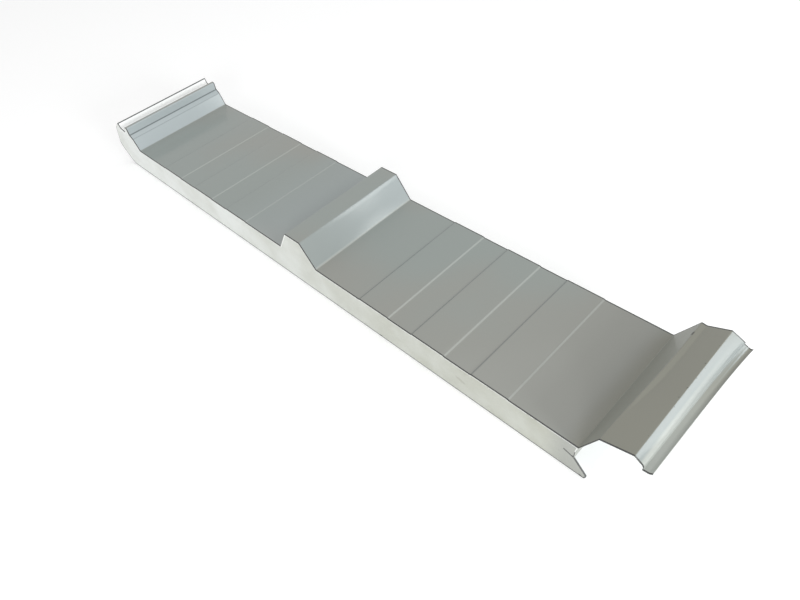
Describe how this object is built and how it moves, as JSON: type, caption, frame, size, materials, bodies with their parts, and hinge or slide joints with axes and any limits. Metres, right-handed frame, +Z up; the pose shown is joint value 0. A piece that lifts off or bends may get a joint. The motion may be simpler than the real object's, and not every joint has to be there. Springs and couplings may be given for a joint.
{
  "type": "insulated sandwich panel",
  "caption": "Short length of insulated roof panel: ribbed steel weather skin and flat steel liner bonded to a foam core, with a snap-over side lap.",
  "frame": {"origin": "on the underside, below the middle rib's centre line, halfway along the ribs", "axes": "+X across the panel from the nose side to the cap side, +Y along the ribs, +Z up towards the weather side"},
  "size_m": [1.0832, 0.19, 0.0989],
  "materials": {
    "weather_skin_paint": "satin coil-coated steel, mid grey",
    "rigid_foam": "sawn rigid polyurethane foam, off-white",
    "liner_skin_paint": "satin coil-coated steel, light grey"
  },
  "bodies": {
    "root": {"upper_steel_skin": "weather_skin_paint", "foam_core": "rigid_foam", "lower_steel_skin": "liner_skin_paint"}
  },
  "joints": []
}
